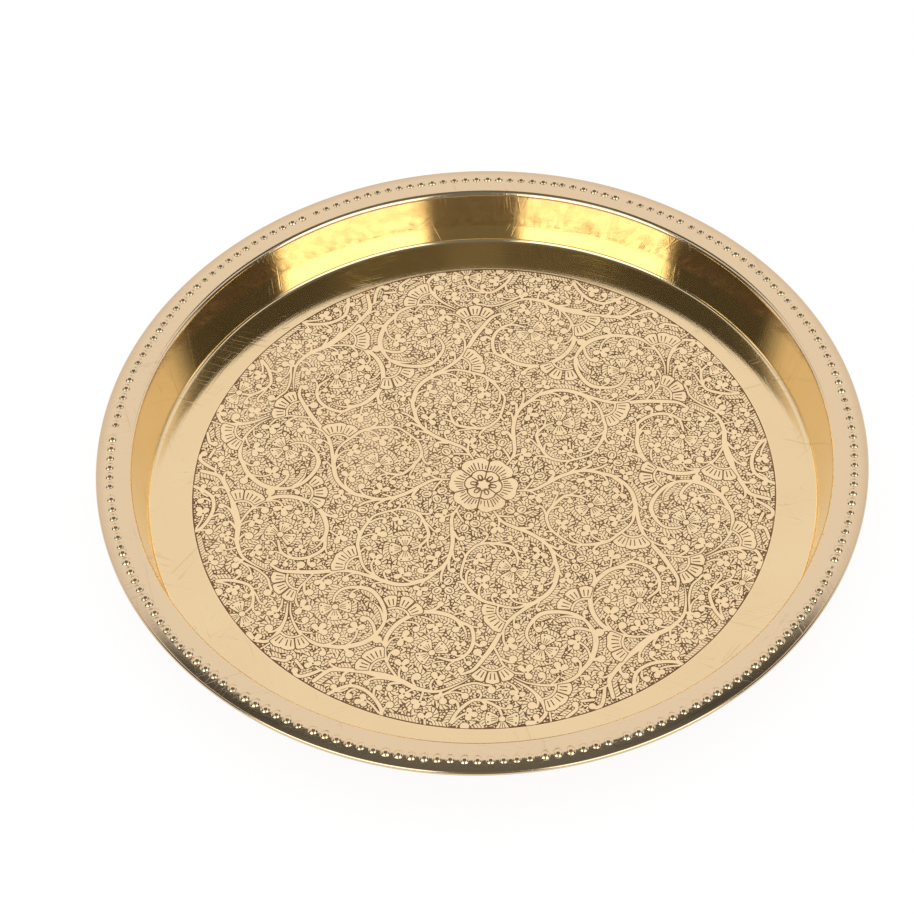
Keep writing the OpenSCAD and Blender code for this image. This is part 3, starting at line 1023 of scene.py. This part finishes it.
def cut_sixth():
    drawing = one_sixth()
    ground = Ground()
    for layer in (0, 2):
        for shape in drawing.layers[layer]:
            for turn in Cut.turns:
                ground.keep_clear(facing_up(turned_by(shape, turn)))
    cut = Cut()
    cut.lay_ground(ground)
    cut.lay_motifs(drawing)
    cut.lay_border()
    return cut.triangles()


def walls_between(corners, bright, drop):
    """Upright faces where a bright triangle meets a dark one, whose points come drop places later."""
    pairs = np.vstack([corners[:, [0, 1]], corners[:, [1, 2]], corners[:, [2, 0]]])
    owner = np.tile(np.arange(len(corners)), 3)
    known = {(a, b): k for (a, b), k in zip(map(tuple, pairs.tolist()), owner)}
    return [(a, a + drop, b + drop, b) for (a, b), k in known.items()
            if bright[k] and (b, a) in known and not bright[known[(b, a)]]]


def etched_floor(metal, dark):
    """Six turned copies of the etched sixth, with bright metal on top and dark ground below it."""
    places, corners, bright = cut_sixth()
    count = len(places)
    tops = corners[bright].tolist()
    below = (corners[~bright] + count).tolist() + walls_between(corners, bright, count)
    faces = tops + below
    used, packed = np.unique(np.concatenate([np.ravel(face) for face in faces]), return_inverse=True)
    starts = np.cumsum([0] + [len(face) for face in faces])
    faces = [packed[a:b].tolist() for a, b in zip(starts, starts[1:])]
    level = np.where(used < count, SHEET_T, SHEET_T - ETCH_DEPTH)
    for k in range(360 // SIXTH):
        flat = turned_by(places[used % count], k * SIXTH) + ORNAMENT_AT
        points = np.column_stack([flat, level])
        mesh = new_piece(f"plate_floor_{k + 1}", points, faces, metal).data
        mesh.materials.append(dark)
        mesh.polygons.foreach_set("material_index", [0] * len(tops) + [1] * len(below))
        mesh.polygons.foreach_set("use_smooth", [False] * len(faces))
        flat_map(mesh, points)


class Graph:
    """Short calls for the nodes of one material or world."""

    def __init__(self, tree):
        self.tree = tree
        tree.nodes.clear()

    def node(self, kind, *inputs, named=None, **settings):
        made = self.tree.nodes.new("ShaderNode" + kind)
        for key, value in settings.items():
            setattr(made, key, value)
        for key, value in [*enumerate(inputs), *(named or {}).items()]:
            if isinstance(value, bpy.types.NodeSocket):
                self.tree.links.new(value, made.inputs[key])
            else:
                made.inputs[key].default_value = value
        return made

    def math(self, operation, *inputs):
        return self.node("Math", *inputs, operation=operation).outputs[0]

    def times(self, a, b):
        return self.math("MULTIPLY", a, b)

    def most(self, first, *others):
        for other in others:
            first = self.math("MAXIMUM", first, other)
        return first

    def noise(self, place, scale, detail):
        inputs = {"Vector": place, "Scale": scale, "Detail": detail}
        return self.node("TexNoise", named=inputs).outputs["Fac"]

    def fade(self, value, low, high, start=0.0, end=1.0, shape="LINEAR"):
        return self.node("MapRange", value, low, high, start, end, interpolation_type=shape).outputs[0]

    def between(self, value, low, high, soft):
        """One where the value lies between two others, and nothing outside them."""
        rise = self.fade(value, low - soft, low + soft, shape="SMOOTHSTEP")
        fall = self.fade(value, high - soft, high + soft, 1.0, 0.0, "SMOOTHSTEP")
        return self.times(rise, fall)

    def mix(self, share, first, second):
        return self.node("MixRGB", share, first, second).outputs[0]

    def ramp(self, value, *stops):
        made = self.node("ValToRGB", value)
        for element, (place, colour) in zip(made.color_ramp.elements, stops):
            element.position = place
            element.color = colour
        return made.outputs[0]

    def shared(self, share, first, second):
        """Two shaders mixed."""
        return self.node("MixShader", share, first, second).outputs[0]


def new_material(name):
    material = bpy.data.materials.new(name)
    material.use_nodes = True
    return material, Graph(material.node_tree)


def scratches(g, place, turn, seed, sparse):
    """Long fine scratches in one direction: thin lines where a stretched noise crosses its middle."""
    stretch = (9.0, 260.0, 1.0)
    line_w = 0.006
    way = g.node("VectorRotate", named={"Vector": place, "Angle": math.radians(turn)},
                 rotation_type="Z_AXIS").outputs[0]
    way = g.node("VectorMath", way, stretch, operation="MULTIPLY").outputs[0]
    way = g.node("VectorMath", way, (0.0, 0.0, seed), operation="ADD").outputs[0]
    off = g.math("ABSOLUTE", g.math("SUBTRACT", g.noise(way, 1.0, 1.0), 0.5))
    patches = g.between(g.noise(place, 23.0 + seed, 2.0), sparse, 2.0, 0.03)
    return g.times(g.fade(off, 0.0, line_w, 1.0, 0.0), patches)


def pits(g, place):
    """Small round pits in some of the cells of a scattered pattern."""
    cells_in_a_metre = 130.0
    empty_share = 0.72
    edge = 0.02, 0.035
    cells = g.node("TexVoronoi", named={"Vector": place, "Scale": cells_in_a_metre}).outputs
    chosen = g.math("GREATER_THAN", g.node("SeparateXYZ", cells["Color"]).outputs[0], empty_share)
    return g.times(g.fade(cells["Distance"], *edge, 1.0, 0.0), chosen)


def spinning(g, place):
    """Rings left by the spinning, and the distance from the plate's axis in metres."""
    rings_in_a_metre = 2400.0
    x, y, z = g.node("SeparateXYZ", place).outputs
    flat = g.node("CombineXYZ", x, y).outputs[0]
    radius = g.node("VectorMath", flat, operation="LENGTH").outputs["Value"]
    turn = g.math("ARCTAN2", y, x)
    rings = g.node("CombineXYZ", g.times(radius, rings_in_a_metre), g.times(z, rings_in_a_metre),
                   g.times(turn, 0.8)).outputs[0]
    return g.noise(rings, 1.0, 2.0), radius


def brass_material(name, colour=BRASS, roughness=0.09):
    """Spun and polished brass: rings from the spinning, scratches, pits and a breath of tarnish.
    Its patterns are set in metres, as all of a shader's lengths are."""
    material, g = new_material(name)
    place = g.node("TexCoord").outputs["Object"]
    spin, radius = spinning(g, place)
    cloud = g.noise(place, 28.0, 4.0)
    flange = g.fade(radius, *(r * MM for r in FLANGE_FROM), shape="SMOOTHSTEP")
    # Painted shade: the outer flange and curl brown by radius, partly grime and partly painted shade and
    # dark reflection
    rim = g.fade(radius, *(r * MM for r in RIM_GRIME_AND_SHADE_FROM), 0.0, RIM_GRIME_AND_SHADE_SHARE)
    lines = g.most(*(scratches(g, place, *group) for group in SCRATCHES))
    holes = pits(g, place)

    tarnished = tuple(c * s for c, s in zip(colour, TARNISH_SHARES))
    greyed = tuple(c * s for c, s in zip(colour, FLANGE_SHARES))
    tint = g.mix(cloud, colour, tarnished)
    tint = g.mix(flange, tint, greyed)
    # Rim browned by grime and painted shade
    tint = g.mix(rim, tint, RIM_GRIME_AND_SHADE)
    tint = g.mix(g.times(lines, SCRATCH_SHARE), tint, SCRATCH_BROWN)
    tint = g.mix(g.times(holes, PIT_SHARE), tint, PIT_BROWN)
    gloss = g.math("ADD", roughness - 0.05, g.times(g.math("ADD", spin, cloud), 0.05))
    gloss = g.math("ADD", gloss, g.times(flange, 0.03))
    relief = g.math("ADD", g.times(spin, 0.6), g.times(g.noise(place, 900.0, 2.0), 0.2))
    relief = g.math("SUBTRACT", relief, g.times(g.most(lines, holes), 0.6))
    bump = g.node("Bump", named={"Height": relief, "Strength": 0.06, "Distance": 0.0004})
    shader = g.node("BsdfPrincipled", named={
        "Base Color": tint, "Metallic": 1.0, "Roughness": gloss, "Normal": bump.outputs[0]})
    g.node("OutputMaterial", shader.outputs[0])
    return material


def ground_material():
    """The etched ground: dark lacquer left in the cut, worn thin in places."""
    material, g = new_material("etched_ground")
    place = g.node("TexCoord").outputs["Object"]
    cloud = g.noise(place, 45.0, 4.0)
    patchy = g.noise(place, 190.0, 3.0)
    worn = g.fade(cloud, 0.5, 0.75, 0.1, 0.55)
    for x, y, radius in WORN:
        middle = (x * MM, y * MM, SHEET_T * MM)
        away = g.node("VectorMath", place, middle, operation="DISTANCE").outputs["Value"]
        worn = g.most(worn, g.fade(away, 0.3 * radius * MM, radius * MM, 0.85, 0.0, "SMOOTHSTEP"))
    worn = g.times(worn, g.fade(patchy, 0.35, 0.6, 0.2, 1.0))
    lacquer = g.ramp(cloud, (0.3, THICK_LACQUER), (0.7, THIN_LACQUER))
    shader = g.node("BsdfPrincipled", named={
        "Base Color": g.mix(worn, lacquer, WORN_BRASS), "Roughness": 0.42,
        "Metallic": g.math("ADD", 0.7, g.times(worn, 0.3))})
    g.node("OutputMaterial", shader.outputs[0])
    return material


def tent(g):
    """The light that the brass mirrors: a bright back, two panels in front and dim gaps."""
    way = g.node("SeparateXYZ", g.node("TexCoord").outputs["Generated"]).outputs
    rise = g.times(g.math("ARCSINE", way[2]), 180 / math.pi)
    turn = g.times(g.math("ARCTAN2", way[0], g.times(way[1], -1.0)), 180 / math.pi)
    off = g.math("ABSOLUTE", turn)

    def stretch(zone):
        return g.times(g.between(off, *zone[0]), g.between(rise, *zone[1]))

    back = g.most(stretch(FAR_BACK), stretch(MIDDLE_BACK), stretch(HIGH_BACK))
    back = g.times(back, g.between(rise, *BACK_RISE))
    back = g.most(back, stretch(STRAIGHT_BACK), stretch(LOW_BACK))
    panels = g.math("ADD", g.times(g.between(rise, *PANEL_RISE), PANEL_LIGHT),
                    g.times(g.between(rise, *PANEL_CORE_RISE), PANEL_CORE_LIGHT))
    panels = g.times(g.between(off, *PANELS_OFF), panels)
    overhead = g.times(g.between(rise, *OVERHEAD_RISE), OVERHEAD_LIGHT)
    behind_camera = g.times(g.between(off, *BEHIND_CAMERA_OFF), BEHIND_CAMERA_LIGHT)
    light = g.math("ADD", g.times(back, BACK_LIGHT), panels)
    light = g.most(light, overhead, g.between(rise, *BELOW_RISE), behind_camera, DIM_LIGHT)
    return g.node("Background", g.mix(back, PANEL_TONE, BACK_TONE), light).outputs[0]


def studio():
    """White to the camera, a photographer's tent to the brass, and plain soft light to the rest."""
    world = bpy.data.worlds.new("studio")
    bpy.context.scene.world = world
    world.use_nodes = True
    g = Graph(world.node_tree)
    path = g.node("LightPath").outputs
    plain = g.node("Background", WHITE, PLAIN_LIGHT).outputs[0]
    seen = g.node("Background", WHITE, 1.0).outputs[0]
    mixed = g.shared(path["Is Glossy Ray"], plain, tent(g))
    g.node("OutputWorld", g.shared(path["Is Camera Ray"], mixed, seen))


def floor():
    """A pale sheet under the plate. It is white to the camera, keeps the plate's shadow and shows
    from above only, so that the plate's underside can be seen."""
    # In metres
    half, gap = 1.6, 0.0002
    grey = 0.86
    glow, glow_share = 1.06, 0.85
    material, g = new_material("paper")
    path = g.node("LightPath").outputs
    seen = g.most(path["Is Camera Ray"], path["Is Glossy Ray"])
    paper = g.node("BsdfDiffuse", (grey, grey, grey, 1)).outputs[0]
    white = g.node("Emission", WHITE, glow).outputs[0]
    sheet = g.shared(g.times(seen, glow_share), paper, white)
    from_below = g.node("NewGeometry").outputs["Backfacing"]
    g.node("OutputMaterial", g.shared(from_below, sheet, g.node("BsdfTransparent").outputs[0]))
    mesh = bpy.data.meshes.new("floor")
    corners = [(-half, -half, -gap), (half, -half, -gap), (half, half, -gap), (-half, half, -gap)]
    mesh.from_pydata(corners, [], [(0, 1, 2, 3)])
    mesh.materials.append(material)
    ground = bpy.data.objects.new("floor", mesh)
    bpy.context.scene.collection.objects.link(ground)
    ground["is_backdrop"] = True


def camera():
    """The photograph's camera, fitted to the places of the rim, the beads and the ornament in it."""
    image = 914
    focal = 2900
    distance = 1166.2
    rise, roll = math.radians(51.77), math.radians(1.914)
    middle_at = (482.18, 484.87)
    view = Matrix(((1, 0, 0), (0, math.sin(rise), math.cos(rise)), (0, math.cos(rise), -math.sin(rise))))
    across = math.atan((middle_at[0] - image / 2) / focal)
    down = math.atan((middle_at[1] - image / 2) / focal)
    turn = Matrix.Rotation(across, 3, "Y") @ Matrix.Rotation(down, 3, "X") @ Matrix.Rotation(roll, 3, "Z")
    rows = turn @ view
    place = Vector((0, -distance * math.cos(rise), distance * math.sin(rise) + SHEET_T))
    data = bpy.data.cameras.new("camera")
    data.sensor_width = 36
    data.lens = focal / image * data.sensor_width
    shot = bpy.data.objects.new("camera", data)
    bpy.context.scene.collection.objects.link(shot)
    pose = Matrix((rows[0], rows[1], -rows[2])).transposed().to_4x4()
    shot.matrix_world = Matrix.Translation(place * MM) @ pose
    bpy.context.scene.camera = shot


def upper_side():
    edge = section.edge_side(0, EDGE_STEP) + section.edge_side(SHEET_T, UNDER_STEP)[-1:]
    sheet = BeadedSheet(section.well_side(ORNAMENT_R, 0), edge, 0, section.ball_r)
    on_floor = np.hypot(sheet.points[:, 0], sheet.points[:, 1]) < ORNAMENT_R + 2 * CREASE
    sheet.points[on_floor, :2] += ORNAMENT_AT
    brass = brass_material("brass")
    piece = new_piece("plate_upper", sheet.points, sheet.faces, brass, flip=True)
    sheet.strip_map(piece.data)


def under_side(material):
    sheet = BeadedSheet(section.well_side(FAN_R, SHEET_T), section.edge_side(SHEET_T, UNDER_STEP),
                        SHEET_T, section.ball_r - BEAD_SKIN)
    sheet.close_middle()
    piece = new_piece("plate_under", sheet.points, sheet.faces, material)
    sheet.strip_map(piece.data)


def plate():
    upper_side()
    etched_floor(brass_material("brass_engraved", ENGRAVED_BRASS), ground_material())
    dull = brass_material("brass_under", UNDER_BRASS, 0.3)
    under_side(dull)
    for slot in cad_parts["rim_wire"].material_slots:
        slot.material = dull


camera()
studio()
floor()
plate()

scene = bpy.context.scene
scene.view_settings.view_transform = "Standard"
[[list(corner) for corner in box] for box in (cad_box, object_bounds())]
